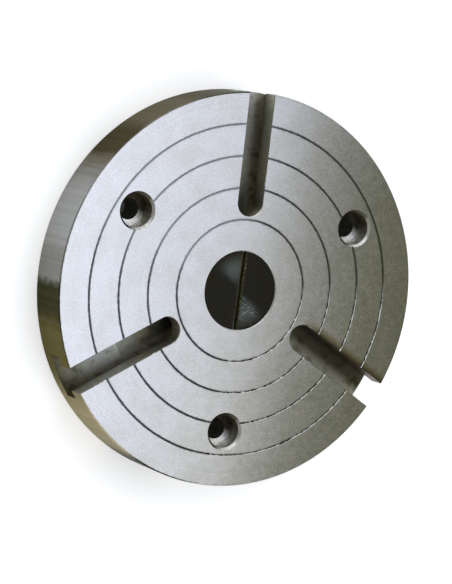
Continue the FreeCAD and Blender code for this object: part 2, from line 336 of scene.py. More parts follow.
# Dirt lies in a band inside each ring line, and over most of the circle outside it too. Where the lines' lips
# are painted bright, the band lies only inside and is darker, a painted shade. It is paler on another side.
past = add_node(tree, "ShaderNodeMath", {0: at["radius"], 1: RINGS_FROM}, operation="SUBTRACT")
past = add_node(tree, "ShaderNodeMath", {0: past, 1: RING_SPACING, 2: 0.0}, operation="WRAP")
past = add_node(tree, "ShaderNodeMath", {0: past, 1: RING_SPACING / 2}, operation="SUBTRACT")
beside = add_node(tree, "ShaderNodeMath", {0: past}, operation="ABSOLUTE")
ragged = {"Vector": at["place"], "Scale": 1 / LINE_BAND_SPACING_MM, "Detail": 3.0}
uneven = add_node(tree, "ShaderNodeTexNoise", ragged)
wander = {"From Min": 0.3, "From Max": 0.7, "To Min": -LINE_BAND_WANDER_MM, "To Max": LINE_BAND_WANDER_MM}
uneven = add_node(tree, "ShaderNodeMapRange", {"Value": uneven, **wander})
beside = add_node(tree, "ShaderNodeMath", {0: beside, 1: uneven}, operation="ADD")
fade = {"From Min": LINE_BAND_MM, "From Max": LINE_BAND_MM - LINE_BAND_FADE_MM}
line_band = add_node(tree, "ShaderNodeMapRange", {"Value": beside, **fade})
inwards = add_node(tree, "ShaderNodeMath", {0: past, 1: 0.0}, operation="LESS_THAN")
filled_side = side_share(tree, at["degrees"], *FILLED_LINES_SIDE)
spread = add_node(tree, "ShaderNodeMath", {0: filled_side, 1: inwards}, operation="MAXIMUM")
on_rings = add_node(tree, "ShaderNodeMath", {0: at["radius"], 1: RINGS_FROM}, operation="GREATER_THAN")
for share in (spread, on_rings, in_front):
    line_band = add_node(tree, "ShaderNodeMath", {0: line_band, 1: share}, operation="MULTIPLY")
# Where the lines' lips are painted bright, the band is darker, a painted shade.
band_colours = {6: hex_colour("#7d7d70"), 7: hex_colour("#9fa1a2")}
dirt_and_shade = add_node(tree, "ShaderNodeMix", {0: filled_side, **band_colours}, **BLEND)
paler = side_share(tree, at["degrees"], *PALE_LINES_SIDE)
dirt_and_shade = add_node(tree, "ShaderNodeMix", {0: paler, 6: dirt_and_shade, 7: hex_colour("#b8babb")}, **BLEND)
satin = add_node(tree, "ShaderNodeMix", {0: line_band, 6: satin, 7: dirt_and_shade}, **BLEND)
rough = add_node(tree, "ShaderNodeMapRange", {"Value": grain, "To Min": 0.16, "To Max": 0.24})
bump = add_node(tree, "ShaderNodeBump", {"Height": grain, "Strength": 0.15, "Distance": 0.00002})
finish_metal(tree, {
    "Base Color": satin, "Roughness": rough, "Normal": bump, "Anisotropic": 0.2, "Tangent": at["flat"],
})

# The rim is steel left as turned, under a thin film of oil. Its colour round the rim is painted reflection:
# bands of pale grey, tan, brown and near black, with sharp ends. Oil takes away the bright edge that bare
# metal has where it is seen from the side.
rim_oil_and_reflections, tree = new_material("turned_rim_oil_and_reflections")
# Real turning marks are about 0.2 mm apart. They are drawn coarser, to show.
RIM_PITCH_MM = 0.5
STREAK_DEGREES = 1.5
BAND_WANDER_DEGREES = 2.0
BAND_WANDER_MM = 5.0
PALEST_REFLECTION = "#bcbec0"
PALE_REFLECTION = "#a8aaac"
GREY_REFLECTION = "#90918f"
DULL_REFLECTION = "#79746a"
TAN_REFLECTION = "#c2b79b"
BROWN_REFLECTION = "#6f694e"
DARK_REFLECTION = "#555248"
DARKER_REFLECTION = "#46473d"
BLACKEST_REFLECTION = "#191914"
RIM_REFLECTIONS = (
    # degrees round the rim, and the painted reflection there
    (-180, GREY_REFLECTION), (-178, DARKER_REFLECTION), (-170, DARKER_REFLECTION), (-165, BROWN_REFLECTION), (-152, BROWN_REFLECTION),
    (-138, TAN_REFLECTION), (-124, TAN_REFLECTION), (-118, BLACKEST_REFLECTION), (-108, BLACKEST_REFLECTION), (-103, DARK_REFLECTION),
    (-97, PALEST_REFLECTION), (0, GREY_REFLECTION), (85, PALEST_REFLECTION), (92, DARKER_REFLECTION), (107, DARK_REFLECTION),
    (114, DULL_REFLECTION), (126, DULL_REFLECTION), (132, DARK_REFLECTION), (141, DARK_REFLECTION), (143, DULL_REFLECTION),
    (148, GREY_REFLECTION), (154, PALE_REFLECTION), (168, PALE_REFLECTION), (174, GREY_REFLECTION), (180, GREY_REFLECTION),
)
at = polar_place(tree)
ragged = {"Vector": at["place"], "Scale": 1 / BAND_WANDER_MM, "Detail": 4.0}
uneven = add_node(tree, "ShaderNodeTexNoise", ragged)
wander = {"To Min": -BAND_WANDER_DEGREES, "To Max": BAND_WANDER_DEGREES}
wander = add_node(tree, "ShaderNodeMapRange", {"Value": uneven, **wander})
wandering = add_node(tree, "ShaderNodeMath", {0: at["degrees"], 1: wander}, operation="ADD")
round_rim = add_node(tree, "ShaderNodeMapRange", {"Value": wandering, "From Min": -180.0, "From Max": 180.0})
reflection_stops = [((turn + 180) / 360, colour) for turn, colour in RIM_REFLECTIONS]
rim_reflection = add_node(tree, "ShaderNodeValToRGB", {0: round_rim}, stops=reflection_stops)
runs = {"W": at["degrees"], "Scale": 1 / STREAK_DEGREES, "Detail": 4.0}
streaks = add_node(tree, "ShaderNodeTexNoise", runs, **LAYERED)
rim_reflection = dulled(tree, rim_reflection, streaks, [(0.3, "#eeece5"), (0.65, "#ffffff")])
marks = add_node(tree, "ShaderNodeTexNoise", {"W": at["height"], "Scale": 1 / RIM_PITCH_MM}, **LAYERED)
rough = add_node(tree, "ShaderNodeMapRange", {"Value": marks, "To Min": 0.24, "To Max": 0.38})
across_marks = add_node(tree, "ShaderNodeCombineXYZ", {"Z": 1.0})
finish_metal(tree, {
    "Base Color": rim_reflection, "Roughness": rough, "Anisotropic": 0.4, "Tangent": across_marks,
    "Specular Tint": hex_colour("#b0aea2"),
})

# Broken edges are small bright flats left by a chamfering tool, with faint chatter marks.
bright_edge, tree = new_material("bright_broken_edge")
CHATTER_MM = 1.2
at = polar_place(tree)
rippled = {"Vector": at["place"], "Scale": 1 / CHATTER_MM, "Detail": 2.0}
chatter = add_node(tree, "ShaderNodeTexNoise", rippled)
cut_steel = add_node(tree, "ShaderNodeValToRGB", {0: chatter}, stops=[(0.35, "#b4b4b0"), (0.65, "#d0d0cd")])
finish_metal(tree, {"Base Color": cut_steel, "Roughness": 0.3})


def round_outline(radius):
    """Points round a circle, anticlockwise."""
    steps = ROUND_STEPS if radius > SMALL_ROUND_RADIUS else SMALL_ROUND_STEPS
    turns = [math.tau * i / steps for i in range(steps)]
    return [(radius * math.cos(turn), radius * math.sin(turn)) for turn in turns]


def lofted_solid(name, outline, levels, end_finishes):
    """A closed solid through the outline at each (half width, height, finish above it) level, in mm."""
    finishes = []
    for finish in [level[2] for level in levels[:-1]] + list(end_finishes):
        if finish not in finishes:
            finishes.append(finish)
    solid = bmesh.new()
    rings = []
    for half_width, height, _ in levels:
        rings.append([solid.verts.new((x * MM, y * MM, height * MM)) for x, y in outline(half_width)])
    for lower, upper, level in zip(rings, rings[1:], levels):
        for i in range(len(lower)):
            side = solid.faces.new((lower[i - 1], lower[i], upper[i], upper[i - 1]))
            side.material_index = finishes.index(level[2])
    solid.faces.new(list(reversed(rings[0]))).material_index = finishes.index(end_finishes[0])
    solid.faces.new(rings[-1]).material_index = finishes.index(end_finishes[1])
    mesh = bpy.data.meshes.new(name)
    solid.to_mesh(mesh)
    solid.free()
    for finish in finishes:
        mesh.materials.append(finish)
    return bpy.data.objects.new(name, mesh)


blank = lofted_solid(
    "plate_blank",
    round_outline,
    [
        (PLATE_RADIUS - RIM_BREAK, 0.0, rim_oil_and_reflections),
        (PLATE_RADIUS, RIM_BREAK, rim_oil_and_reflections),
        (PLATE_RADIUS, PLATE_THICKNESS - RIM_BREAK, rim_oil_and_reflections),
        (PLATE_RADIUS - RIM_BREAK, PLATE_THICKNESS, None),
    ],
    (rim_oil_and_reflections, rim_oil_and_reflections),
)


# The bore runs right through the middle. It is wider in front, where the plug sits on its shoulder.
# Both its mouths are lightly chamfered.
BORE_RADIUS = 17.5
SEAT_RADIUS = 20.0
SEAT_DEPTH = 12.5
BORE_BREAK = 0.5

# The bored wall shows the fine pitch of the boring bar.
bored_steel, tree = new_material("bored_steel")
# Real boring marks are about 0.15 mm apart. They are drawn coarser, to show.
BORING_PITCH_MM = 0.4
at = polar_place(tree)
marks = add_node(tree, "ShaderNodeTexNoise", {"W": at["height"], "Scale": 1 / BORING_PITCH_MM}, **LAYERED)
wall = add_node(tree, "ShaderNodeValToRGB", {0: marks}, stops=[(0.3, "#989790"), (0.7, "#b2b1aa")])
finish_metal(tree, {"Base Color": wall, "Roughness": 0.35})

bore_cutter = lofted_solid(
    "bore_cutter",
    round_outline,
    [
        (BORE_RADIUS + BORE_BREAK + OVERRUN, -OVERRUN, bright_edge),
        (BORE_RADIUS, BORE_BREAK, bored_steel),
        (BORE_RADIUS, PLATE_THICKNESS - SEAT_DEPTH, bored_steel),
        (SEAT_RADIUS, PLATE_THICKNESS - SEAT_DEPTH, bored_steel),
        (SEAT_RADIUS, PLATE_THICKNESS - BORE_BREAK, bright_edge),
        (SEAT_RADIUS + BORE_BREAK + OVERRUN, PLATE_THICKNESS + OVERRUN, None),
    ],
    (bored_steel, bored_steel),
)


# The three T-slots are milled in from the rim. A slot's neck ends in the round of its cutter, and
# the wider undercut below it holds the head of a T-bolt. The floors are dull with dried oil.
SLOT_COUNT = 3
FIRST_SLOT_DEGREES = 90.0
SLOT_WIDTH = 14.0
NECK_DEPTH = 9.5
UNDERCUT_WIDTH = 23.5
UNDERCUT_HEIGHT = 9.5
TIP_RADIUS = 37.6
SLOT_BREAK = 0.3
SLOT_OVERRUN = 6.0
TIP_STEPS = 32
SLOT_FLOOR = PLATE_THICKNESS - NECK_DEPTH - UNDERCUT_HEIGHT

# Dried oil makes the slots' floors a dull olive, with dark specks. Light and shade are painted along each
# floor in its own way. The first is painted darker towards its inner end and lighter where it leaves the rim.
# The second has a painted shadow over its inner part, which ends sharply at two thirds of the radius, and it
# is darker again near the rim. In the third a painted shadow lies along one side. Under the lips the floors
# are painted darker as shade, most of all in the third.
slot_floor, tree = new_material("milled_slot_floor")
FLOOR_GRAIN_MM = 0.8
BLOT_MM = 5.0
IN_SLOT_MM = 35.0
SLOT_REACH_MM = 110.0
UNDER_LIP_MM = 5.5
LIP_FADE_MM = 2.5
# Where across the third slot the painted shadow begins and is full.
SHADOW_SIDE_MM = (-3.5, 3.5)
OLD_OIL = "#45423a"
SLOT_LIGHT_AND_SHADE = (
    # the slot's turn, then the colours under its lips and on its open floor, with how far out each is
    (
        90,
        [(0, "#c8c3b2"), (110, "#c8c3b2")],
        [(45, "#7c7b6b"), (58, "#cccbbb"), (86, "#dcdccf"), (97, "#ecece6")],
    ),
    (
        210,
        [(88, "#b2ae9c"), (96, "#7a7458")],
        [
            (45, "#666354"), (52, "#868370"), (60, "#a2a298"), (65.4, "#a6a69a"), (66.2, "#d2d4ce"),
            (71, "#c2c3be"), (84, "#b4b5ae"), (93, "#939181"), (99, "#6d6a56"),
        ],
    ),
    (
        330,
        [(0, "#5a5644"), (110, "#5a5644")],
        [(45, "#a8a796"), (100, "#b0af9c")],
    ),
)
at = polar_place(tree)
oil_and_shade = add_node(tree, "ShaderNodeRGB").outputs[0]
oil_and_shade.default_value = hex_colour(OLD_OIL)
for turn, lip_shades, floor_shades in SLOT_LIGHT_AND_SHADE:
    along = reach_towards(tree, at["flat"], turn)
    aside = reach_towards(tree, at["flat"], turn + 90)
    here = add_node(tree, "ShaderNodeMath", {0: along, 1: IN_SLOT_MM}, operation="GREATER_THAN")
    share = add_node(tree, "ShaderNodeMath", {0: along, 1: SLOT_REACH_MM}, operation="DIVIDE")
    stops = [(distance / SLOT_REACH_MM, colour) for distance, colour in floor_shades]
    floor = add_node(tree, "ShaderNodeValToRGB", {0: share}, stops=stops)
    stops = [(distance / SLOT_REACH_MM, colour) for distance, colour in lip_shades]
    lip_shade = add_node(tree, "ShaderNodeValToRGB", {0: share}, stops=stops)
    off_middle = add_node(tree, "ShaderNodeMath", {0: aside}, operation="ABSOLUTE")
    under_lip = {"Value": off_middle, "From Min": UNDER_LIP_MM, "From Max": UNDER_LIP_MM + LIP_FADE_MM}
    painted_light_share = add_node(tree, "ShaderNodeMapRange", under_lip)
    # The third slot's painted shadow along one side.
    if turn == CREPT_OIL_SLOT_DEGREES:
        shadow_edge = {"Value": aside, "From Min": SHADOW_SIDE_MM[0], "From Max": SHADOW_SIDE_MM[1]}
        shadow_side = add_node(tree, "ShaderNodeMapRange", shadow_edge, **SOFT_ENDS)
        painted_light_share = add_node(tree, "ShaderNodeMath", {0: painted_light_share, 1: shadow_side}, operation="MAXIMUM")
    floor = add_node(tree, "ShaderNodeMix", {0: painted_light_share, 6: floor, 7: lip_shade}, **BLEND)
    oil_and_shade = add_node(tree, "ShaderNodeMix", {0: here, 6: oil_and_shade, 7: floor}, **BLEND)
gritty = {"Scale": 1 / FLOOR_GRAIN_MM, "Detail": 4.0, "Roughness": 0.65}
grain = add_node(tree, "ShaderNodeTexNoise", {"Vector": at["place"], **gritty})
blots = add_node(tree, "ShaderNodeTexNoise", {"Vector": at["place"], "Scale": 1 / BLOT_MM, "Detail": 5.0})
oil_and_shade = dulled(tree, oil_and_shade, grain, [(0.28, "#a8a8a0"), (0.42, "#e4e4e0"), (0.75, "#ffffff")])
oil_and_shade = dulled(tree, oil_and_shade, blots, [(0.3, "#b8b4a4"), (0.5, "#ffffff")])
rough = add_node(tree, "ShaderNodeMapRange", {"Value": grain, "To Min": 0.40, "To Max": 0.55})
finish_metal(tree, {"Base Color": oil_and_shade, "Roughness": rough})

# The undercuts can't be reached with a rag. They are dark brown with old oil and chips.
undercut_oil, tree = new_material("oily_undercut")
at = polar_place(tree)
blots = add_node(tree, "ShaderNodeTexNoise", {"Vector": at["place"], "Scale": 1 / BLOT_MM, "Detail": 5.0})
brown = add_node(tree, "ShaderNodeValToRGB", {0: blots}, stops=[(0.35, "#77735f"), (0.65, "#8e8a76")])
finish_metal(tree, {"Base Color": brown, "Roughness": 0.45})

# The necks' walls are steel, light near the face and painted darker towards the undercut, as shade. One
# slot's walls are paler right down, and one has a reddish bloom of rust. Fine upright lines are left by the
# cutter.
neck_wall, tree = new_material("milled_neck_wall")
# Real cutter lines are about 0.2 mm apart. They are drawn coarser, to show.
CUTTER_LINE_MM = 0.7
CUTTER_LINE_SQUEEZE = (1, 1, 0.1)
RUST_MM = 6.0
at = polar_place(tree)
upright = {0: at["place"], 1: CUTTER_LINE_SQUEEZE}
upright = add_node(tree, "ShaderNodeVectorMath", upright, operation="MULTIPLY")
lines = add_node(tree, "ShaderNodeTexNoise", {"Vector": upright, "Scale": 1 / CUTTER_LINE_MM, "Detail": 2.0})
bloom = add_node(tree, "ShaderNodeTexNoise", {"Vector": at["place"], "Scale": 1 / RUST_MM, "Detail": 4.0})
up_neck = {"Value": at["height"], "From Min": PLATE_THICKNESS - NECK_DEPTH, "From Max": PLATE_THICKNESS}
rise = add_node(tree, "ShaderNodeMapRange", up_neck)
shaded_wall_stops = [(0.0, "#6a695c"), (0.5, "#adac9e"), (1.0, "#deddd2")]
paler_wall_stops = [(0.0, "#a9a899"), (0.4, "#dcdbd0"), (1.0, "#f4f3ec")]
wall = add_node(tree, "ShaderNodeValToRGB", {0: rise}, stops=shaded_wall_stops)
paler = add_node(tree, "ShaderNodeValToRGB", {0: rise}, stops=paler_wall_stops)
rust = add_node(tree, "ShaderNodeValToRGB", {0: bloom}, stops=[(0.35, "#624636"), (0.6, "#6d6850")])
for turn, finish in ((210, paler), (330, rust)):
    along = reach_towards(tree, at["flat"], turn)
    here = add_node(tree, "ShaderNodeMath", {0: along, 1: IN_SLOT_MM}, operation="GREATER_THAN")
    wall = add_node(tree, "ShaderNodeMix", {0: here, 6: wall, 7: finish}, **BLEND)
wall = dulled(tree, wall, lines, [(0.3, "#d0d0c8"), (0.7, "#ffffff")])
finish_metal(tree, {"Base Color": wall, "Roughness": 0.42})

# The slots' mouths have only a hair's breadth taken off them. Round their inner ends it is painted bright, a
# painted highlight, and elsewhere it is as dull as the wall, with a few bright nicks. Oil covers it where it
# has crept out of a slot.
mouth_edge, tree = new_material("slot_mouth_highlight_and_oil")
NICK_SPACING_MM = 3.0
NICK_AND_HIGHLIGHT_BRIGHT = "#e6e6e4"
# How far from the axis the painted highlight ends and the dull stretch is full.
HIGHLIGHT_ENDS_MM = (41.0, 43.0)
at = polar_place(tree)
dotted = {"Vector": at["place"], "Scale": 1 / NICK_SPACING_MM, "Detail": 3.0}
nicks = add_node(tree, "ShaderNodeTexNoise", dotted)
dull = add_node(tree, "ShaderNodeValToRGB", {0: nicks}, stops=[(0.55, "#84847b"), (0.66, NICK_AND_HIGHLIGHT_BRIGHT)])
past_bright = {"Value": at["radius"], "From Min": HIGHLIGHT_ENDS_MM[0], "From Max": HIGHLIGHT_ENDS_MM[1]}
outer = add_node(tree, "ShaderNodeMapRange", past_bright)
edge = add_node(tree, "ShaderNodeMix", {0: outer, 6: hex_colour(NICK_AND_HIGHLIGHT_BRIGHT), 7: dull}, **BLEND)
crept_oil_and_shade = crept_share(tree, at["flat"])
edge = add_node(tree, "ShaderNodeMix", {0: crept_oil_and_shade, 6: edge, 7: hex_colour("#3f3c30")}, **BLEND)
finish_metal(tree, {"Base Color": edge, "Roughness": 0.35})


def slot_outline(half_width):
    """Points round a slot along +X, open past the rim, with a round inner end."""
    outer = PLATE_RADIUS + SLOT_OVERRUN
    centre = TIP_RADIUS + SLOT_WIDTH / 2
    turns = [math.pi / 2 + math.pi * i / TIP_STEPS for i in range(TIP_STEPS + 1)]
    tip = [(centre + half_width * math.cos(t), half_width * math.sin(t)) for t in turns]
    return [(outer, -half_width), (outer, half_width)] + tip


slot_cutter = lofted_solid(
    "slot_cutter",
    slot_outline,
    [
        (UNDERCUT_WIDTH / 2, SLOT_FLOOR, undercut_oil),
        (UNDERCUT_WIDTH / 2, SLOT_FLOOR + UNDERCUT_HEIGHT, undercut_oil),
        (SLOT_WIDTH / 2, SLOT_FLOOR + UNDERCUT_HEIGHT, neck_wall),
        (SLOT_WIDTH / 2, PLATE_THICKNESS - SLOT_BREAK, mouth_edge),
        (SLOT_WIDTH / 2 + SLOT_BREAK + OVERRUN, PLATE_THICKNESS + OVERRUN, None),
    ],
    (slot_floor, slot_floor),
)


# The three bolt holes are drilled through, counterbored for the screw heads and chamfered at both
# mouths. They stand between the slots.
HOLE_COUNT = 3
FIRST_HOLE_DEGREES = 30.0
BOLT_CIRCLE_RADIUS = 72.0
HOLE_RADIUS = 5.5
COUNTERBORE_RADIUS = 8.5
COUNTERBORE_DEPTH = 10.7
COUNTERBORE_BREAK = 1.2
HOLE_BREAK = 0.5
COUNTERBORE_FLOOR = PLATE_THICKNESS - COUNTERBORE_DEPTH


def arm_from_hole(tree, at):
    """The flat arm in mm to a place from the axis of the nearest bolt hole."""
    apart = 360.0 / HOLE_COUNT
    shifted = {0: at["degrees"], 1: apart / 2 - FIRST_HOLE_DEGREES}
    shifted = add_node(tree, "ShaderNodeMath", shifted, operation="ADD")
    folded = add_node(tree, "ShaderNodeMath", {0: shifted, 1: apart, 2: 0.0}, operation="WRAP")
    off_hole = add_node(tree, "ShaderNodeMath", {0: folded, 1: apart / 2}, operation="SUBTRACT")
    hole_turn = add_node(tree, "ShaderNodeMath", {0: at["degrees"], 1: off_hole}, operation="SUBTRACT")
    radians = add_node(tree, "ShaderNodeMath", {0: hole_turn}, operation="RADIANS")
    cosine = add_node(tree, "ShaderNodeMath", {0: radians}, operation="COSINE")
    sine = add_node(tree, "ShaderNodeMath", {0: radians}, operation="SINE")
    outwards = add_node(tree, "ShaderNodeCombineXYZ", {"X": cosine, "Y": sine})
    centre = {0: outwards, "Scale": BOLT_CIRCLE_RADIUS}
    centre = add_node(tree, "ShaderNodeVectorMath", centre, operation="SCALE")
    return add_node(tree, "ShaderNodeVectorMath", {0: at["flat"], 1: centre}, operation="SUBTRACT")


# The seat that a screw head bears on is bright, with the rings of the counterbore's cutting edges. One side
# of it is painted dark, a painted shade.
screw_seat, tree = new_material("counterbored_screw_seat")
# Real cutter rings are about 0.2 mm apart. They are drawn coarser, to show.
SEAT_PITCH_MM = 0.8
CRUMB_MM = 1.5
# For one side of a hole, here and below: its turn, then how far towards it the finish begins and is
# full, in mm.
SEAT_SHADE_SIDE = (70.0, -3.0, 2.5)
arm = arm_from_hole(tree, polar_place(tree))
reach = add_node(tree, "ShaderNodeVectorMath", {0: arm}, operation="LENGTH")
marks = add_node(tree, "ShaderNodeTexNoise", {"W": reach, "Scale": 1 / SEAT_PITCH_MM}, **LAYERED)
seat = add_node(tree, "ShaderNodeValToRGB", {0: marks}, stops=[(0.3, "#ececea"), (0.7, "#fcfcfc")])
crept_oil_and_shade = share_towards(tree, arm, *SEAT_SHADE_SIDE)
seat = add_node(tree, "ShaderNodeMix", {0: crept_oil_and_shade, 6: seat, 7: hex_colour("#3d392e")}, **BLEND)
crumbs = add_node(tree, "ShaderNodeTexNoise", {"Vector": arm, "Scale": 1 / CRUMB_MM, "Detail": 3.0})
seat = dulled(tree, seat, crumbs, [(0.34, "#dcdcd8"), (0.5, "#ffffff")])
finish_metal(tree, {"Base Color": seat, "Roughness": 0.32, "Anisotropic": 0.95, "Tangent": arm})

# The counterbore's mouth is a chamfer painted bright on one side, a painted highlight, and dark olive on the
# other, a painted dark reflection.
mouth_chamfer, tree = new_material("counterbore_mouth")
MOUTH_HIGHLIGHT_SIDE = (-38.0, 1.0, 6.0)
at = polar_place(tree)
rippled = {"Vector": at["place"], "Scale": 1 / CHATTER_MM, "Detail": 2.0}
chatter = add_node(tree, "ShaderNodeTexNoise", rippled)
cut_steel = add_node(tree, "ShaderNodeValToRGB", {0: chatter}, stops=[(0.35, "#c4c4c1"), (0.65, "#dedede")])
highlit_share = share_towards(tree, arm_from_hole(tree, at), *MOUTH_HIGHLIGHT_SIDE)
mouth = add_node(tree, "ShaderNodeMix", {0: highlit_share, 6: hex_colour("#565546"), 7: cut_steel}, **BLEND)
finish_metal(tree, {"Base Color": mouth, "Roughness": 0.3})

# The counterbore's wall is brown-black, partly with oil and partly as painted shade, and darker towards the
# seat. On the side where light falls on it, it is painted light grey. The drilled hole below has a thinner
# film, and looks dark because it is deep.
hole_wall_oil_and_shade, tree = new_material("counterbore_wall_oil_and_shade")
STREAK_MM = 2.5
WALL_LIT_SIDE = (-68.0, 0.5, 6.5)
DRILLED = "#84837a"
at = polar_place(tree)
paler = share_towards(tree, arm_from_hole(tree, at), *WALL_LIT_SIDE)
over_floor = {0: at["height"], 1: COUNTERBORE_FLOOR}
above_seat = add_node(tree, "ShaderNodeMath", over_floor, operation="GREATER_THAN")
paler = add_node(tree, "ShaderNodeMath", {0: paler, 1: above_seat}, operation="MULTIPLY")
rise = add_node(tree, "ShaderNodeMapRange", {"Value": at["height"], "From Max": PLATE_THICKNESS})
# Painted shade: the counterbore's wall is darker towards the seat.
shaded_wall_stops = [(0.0, DRILLED), (0.6, DRILLED), (0.62, "#68644f"), (1.0, "#968f76")]
wall = add_node(tree, "ShaderNodeValToRGB", {0: rise}, stops=shaded_wall_stops)
wall = add_node(tree, "ShaderNodeMix", {0: paler, 6: wall, 7: hex_colour("#cfcfc6")}, **BLEND)
streaks = add_node(tree, "ShaderNodeTexNoise", {"Vector": at["place"], "Scale": 1 / STREAK_MM, "Detail": 4.0})
wall = dulled(tree, wall, streaks, [(0.35, "#c8c2b0"), (0.65, "#ffffff")])
across_marks = add_node(tree, "ShaderNodeCombineXYZ", {"Z": 1.0})
finish_metal(tree, {"Base Color": wall, "Roughness": 0.5, "Anisotropic": 0.5, "Tangent": across_marks})

hole_cutter = lofted_solid(
    "hole_cutter",
    round_outline,
    [
        (HOLE_RADIUS + HOLE_BREAK + OVERRUN, -OVERRUN, bright_edge),
        (HOLE_RADIUS, HOLE_BREAK, hole_wall_oil_and_shade),
        (HOLE_RADIUS, COUNTERBORE_FLOOR, screw_seat),
        (COUNTERBORE_RADIUS, COUNTERBORE_FLOOR, hole_wall_oil_and_shade),
        (COUNTERBORE_RADIUS, PLATE_THICKNESS - COUNTERBORE_BREAK, mouth_chamfer),
        (COUNTERBORE_RADIUS + COUNTERBORE_BREAK + OVERRUN, PLATE_THICKNESS + OVERRUN, None),
    ],
    (hole_wall_oil_and_shade, hole_wall_oil_and_shade),
)


# Four fine V-shaped ring lines are cut into the face with a pointed tool, to centre work by eye.
# Dirt and oil sit in them.
RING_COUNT = 4
LINE_WIDTH = 1.0
LINE_DEPTH = 0.8

# Grey dirt fills them to the brim over most of the circle. It is paler on one side, and olive towards the
# side that the face's painted reflection tints. Elsewhere a bright lip, a painted highlight, lies over dark
# grime, which is dirt and painted shade.
ring_line_steel, tree = new_material("scribed_ring_line")
DIRT_MM = 2.0
# The lowest and highest levels of the dirt below the bright painted lip.
DIRT_LEVELS = (PLATE_THICKNESS - 1.2, PLATE_THICKNESS + 0.4)
at = polar_place(tree)
crumbs = add_node(tree, "ShaderNodeTexNoise", {"Vector": at["place"], "Scale": 1 / DIRT_MM, "Detail": 4.0})
level = {"Value": crumbs, "To Min": DIRT_LEVELS[0], "To Max": DIRT_LEVELS[1]}
level = add_node(tree, "ShaderNodeMapRange", level)
deep = add_node(tree, "ShaderNodeMath", {0: at["height"], 1: level}, operation="LESS_THAN")
filled_side = side_share(tree, at["degrees"], *FILLED_LINES_SIDE)
filled = add_node(tree, "ShaderNodeMath", {0: filled_side, 1: deep}, operation="MAXIMUM")
dust_and_reflection = add_node(tree, "ShaderNodeValToRGB", {0: crumbs}, stops=[(0.35, "#86888a"), (0.65, "#a0a2a4")])
grime_and_shade = add_node(tree, "ShaderNodeValToRGB", {0: crumbs}, stops=[(0.35, "#36362c"), (0.65, "#56564a")])
# Painted reflection: olive towards the side where the face is tinted yellow.
painted_light_share = share_towards(tree, at["flat"], *REFLECTION_TINT_SIDE)
paler = side_share(tree, at["degrees"], *PALE_LINES_SIDE)
dust_and_reflection = add_node(tree, "ShaderNodeMix", {0: painted_light_share, 6: dust_and_reflection, 7: hex_colour("#7a7962")}, **BLEND)
dirt_and_shade = add_node(tree, "ShaderNodeMix", {0: filled_side, 6: grime_and_shade, 7: dust_and_reflection}, **BLEND)
dirt_and_shade = add_node(tree, "ShaderNodeMix", {0: paler, 6: dirt_and_shade, 7: hex_colour("#c2c4c6")}, **BLEND)
groove = add_node(tree, "ShaderNodeMix", {0: filled, 6: hex_colour("#f6f6f4"), 7: dirt_and_shade}, **BLEND)
finish_metal(tree, {"Base Color": groove, "Roughness": 0.4})


# One tree cuts the plate: it sets the slots and holes out round the axis, draws the ring lines and
# takes them all out of the blank. The result is kept as a plain mesh that stands for the CAD plate.
SMOOTH_UNDER_DEGREES = 30.0
FACE_TOLERANCE = 0.05
cutting = bpy.data.node_groups.new("cut_the_plate", "GeometryNodeTree")
cutting.interface.new_socket("Blank", in_out="INPUT", socket_type="NodeSocketGeometry")
CUT_INPUTS = [
    ("Bore Cutter", "NodeSocketObject", bore_cutter),
    ("Slot Cutter", "NodeSocketObject", slot_cutter),
    ("Hole Cutter", "NodeSocketObject", hole_cutter),
    ("Slot Count", "NodeSocketInt", SLOT_COUNT),
    ("Slot Turn", "NodeSocketFloat", math.radians(FIRST_SLOT_DEGREES)),
    ("Hole Count", "NodeSocketInt", HOLE_COUNT),
    ("Hole Turn", "NodeSocketFloat", math.radians(FIRST_HOLE_DEGREES)),
    ("Bolt Circle Radius", "NodeSocketFloat", BOLT_CIRCLE_RADIUS * MM),
    ("Ring Count", "NodeSocketInt", RING_COUNT),
    ("First Ring Radius", "NodeSocketFloat", FIRST_RING_RADIUS * MM),
    ("Ring Spacing", "NodeSocketFloat", RING_SPACING * MM),
    ("Line Width", "NodeSocketFloat", LINE_WIDTH * MM),
    ("Line Depth", "NodeSocketFloat", LINE_DEPTH * MM),
    ("Face Height", "NodeSocketFloat", PLATE_THICKNESS * MM),
    ("Line Finish", "NodeSocketMaterial", ring_line_steel),
    ("Face Finish", "NodeSocketMaterial", ground_steel),
]
for name, kind, value in CUT_INPUTS:
    cutting.interface.new_socket(name, in_out="INPUT", socket_type=kind)
cutting.interface.new_socket("Plate", in_out="OUTPUT", socket_type="NodeSocketGeometry")
given = add_node(cutting, "NodeGroupInput").outputs


def set_out(tree, cutter, count, first_turn, distance):
    """Copies of a cutter, evenly spaced round the axis at a distance from it."""
    points = add_node(tree, "GeometryNodePoints", {"Count": count})
    number = add_node(tree, "GeometryNodeInputIndex")
    share = add_node(tree, "ShaderNodeMath", {0: number, 1: count}, operation="DIVIDE")
    turn = add_node(tree, "ShaderNodeMath", {0: share, 1: math.tau, 2: first_turn}, operation="MULTIPLY_ADD")
    cosine = add_node(tree, "ShaderNodeMath", {0: turn}, operation="COSINE")
    sine = add_node(tree, "ShaderNodeMath", {0: turn}, operation="SINE")
    direction = add_node(tree, "ShaderNodeCombineXYZ", {"X": cosine, "Y": sine})
    place = add_node(tree, "ShaderNodeVectorMath", {0: direction, "Scale": distance}, operation="SCALE")
    points = add_node(tree, "GeometryNodeSetPosition", {"Geometry": points, "Position": place})
    rotation = add_node(tree, "ShaderNodeCombineXYZ", {"Z": turn})
    shape = add_node(tree, "GeometryNodeObjectInfo", {"Object": cutter}, transform_space="ORIGINAL")
    copying = {"Points": points, "Instance": shape.outputs["Geometry"], "Rotation": rotation}
    copies = add_node(tree, "GeometryNodeInstanceOnPoints", copying)
    return add_node(tree, "GeometryNodeRealizeInstances", {"Geometry": copies})


